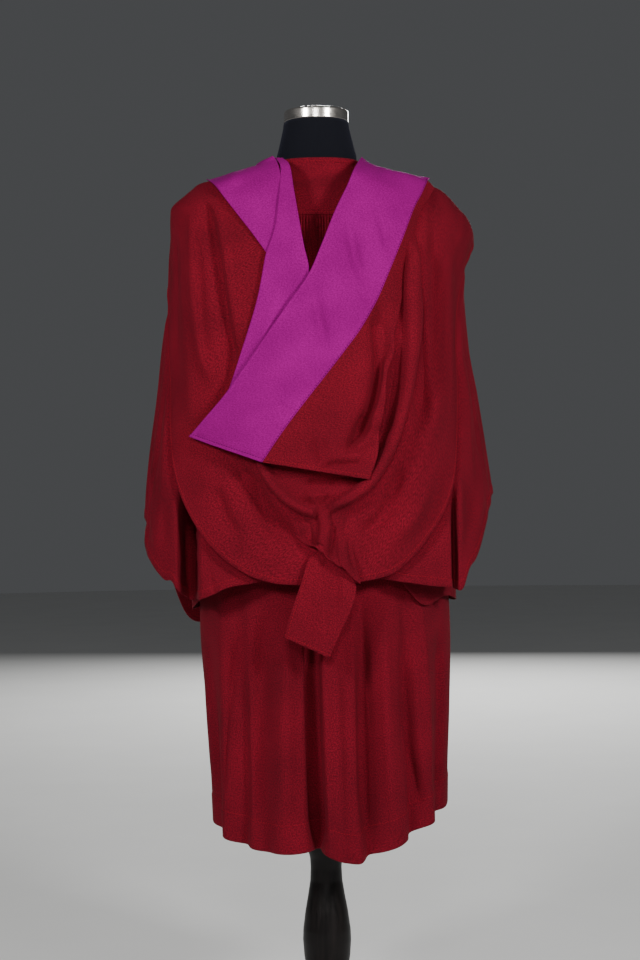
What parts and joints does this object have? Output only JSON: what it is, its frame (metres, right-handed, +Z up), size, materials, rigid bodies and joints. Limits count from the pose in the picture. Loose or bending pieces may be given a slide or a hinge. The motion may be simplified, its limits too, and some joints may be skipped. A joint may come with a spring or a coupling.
{
  "type": "graduation gown with hood on a limbless dress form",
  "caption": "Crimson doctoral gown with gathered yoke, bell sleeves and a magenta-lined hood, worn by a limbless dress form on a turned wooden stand.",
  "frame": {"origin": "centre of the stand base's underside, on the floor", "axes": "+Z up; the back of the gown, which the picture shows, faces -Y and the open front faces +Y; +X is the wearer's right, on the right of the picture"},
  "size_m": [0.6291, 0.45, 1.688],
  "materials": {
    "crimson_cloth": "matt woollen weave with a faint diagonal rib",
    "magenta_lining": "satin, softly lustrous",
    "black_jersey": "matt stretch jersey",
    "chrome_cap": "polished",
    "dark_wood": "dark lacquer, half gloss"
  },
  "bodies": {
    "root": {"gown_yoke": "crimson_cloth", "gown_back": "crimson_cloth", "gown_front_left": "crimson_cloth", "gown_front_right": "crimson_cloth", "sleeve_left": "crimson_cloth", "sleeve_right": "crimson_cloth", "hood_cape": "crimson_cloth", "hood_cowl_pouch": "crimson_cloth", "hood_cowl_flap": "crimson_cloth", "hood_liripipe": "crimson_cloth", "hood_neckband_left": "crimson_cloth", "hood_neckband_right": "crimson_cloth", "lining_right": "magenta_lining", "lining_left_fold": "magenta_lining", "lining_left_shoulder": "magenta_lining", "form_torso": "black_jersey", "neck_cap": "chrome_cap", "stand_post": "dark_wood", "stand_base": "dark_wood"}
  },
  "joints": []
}
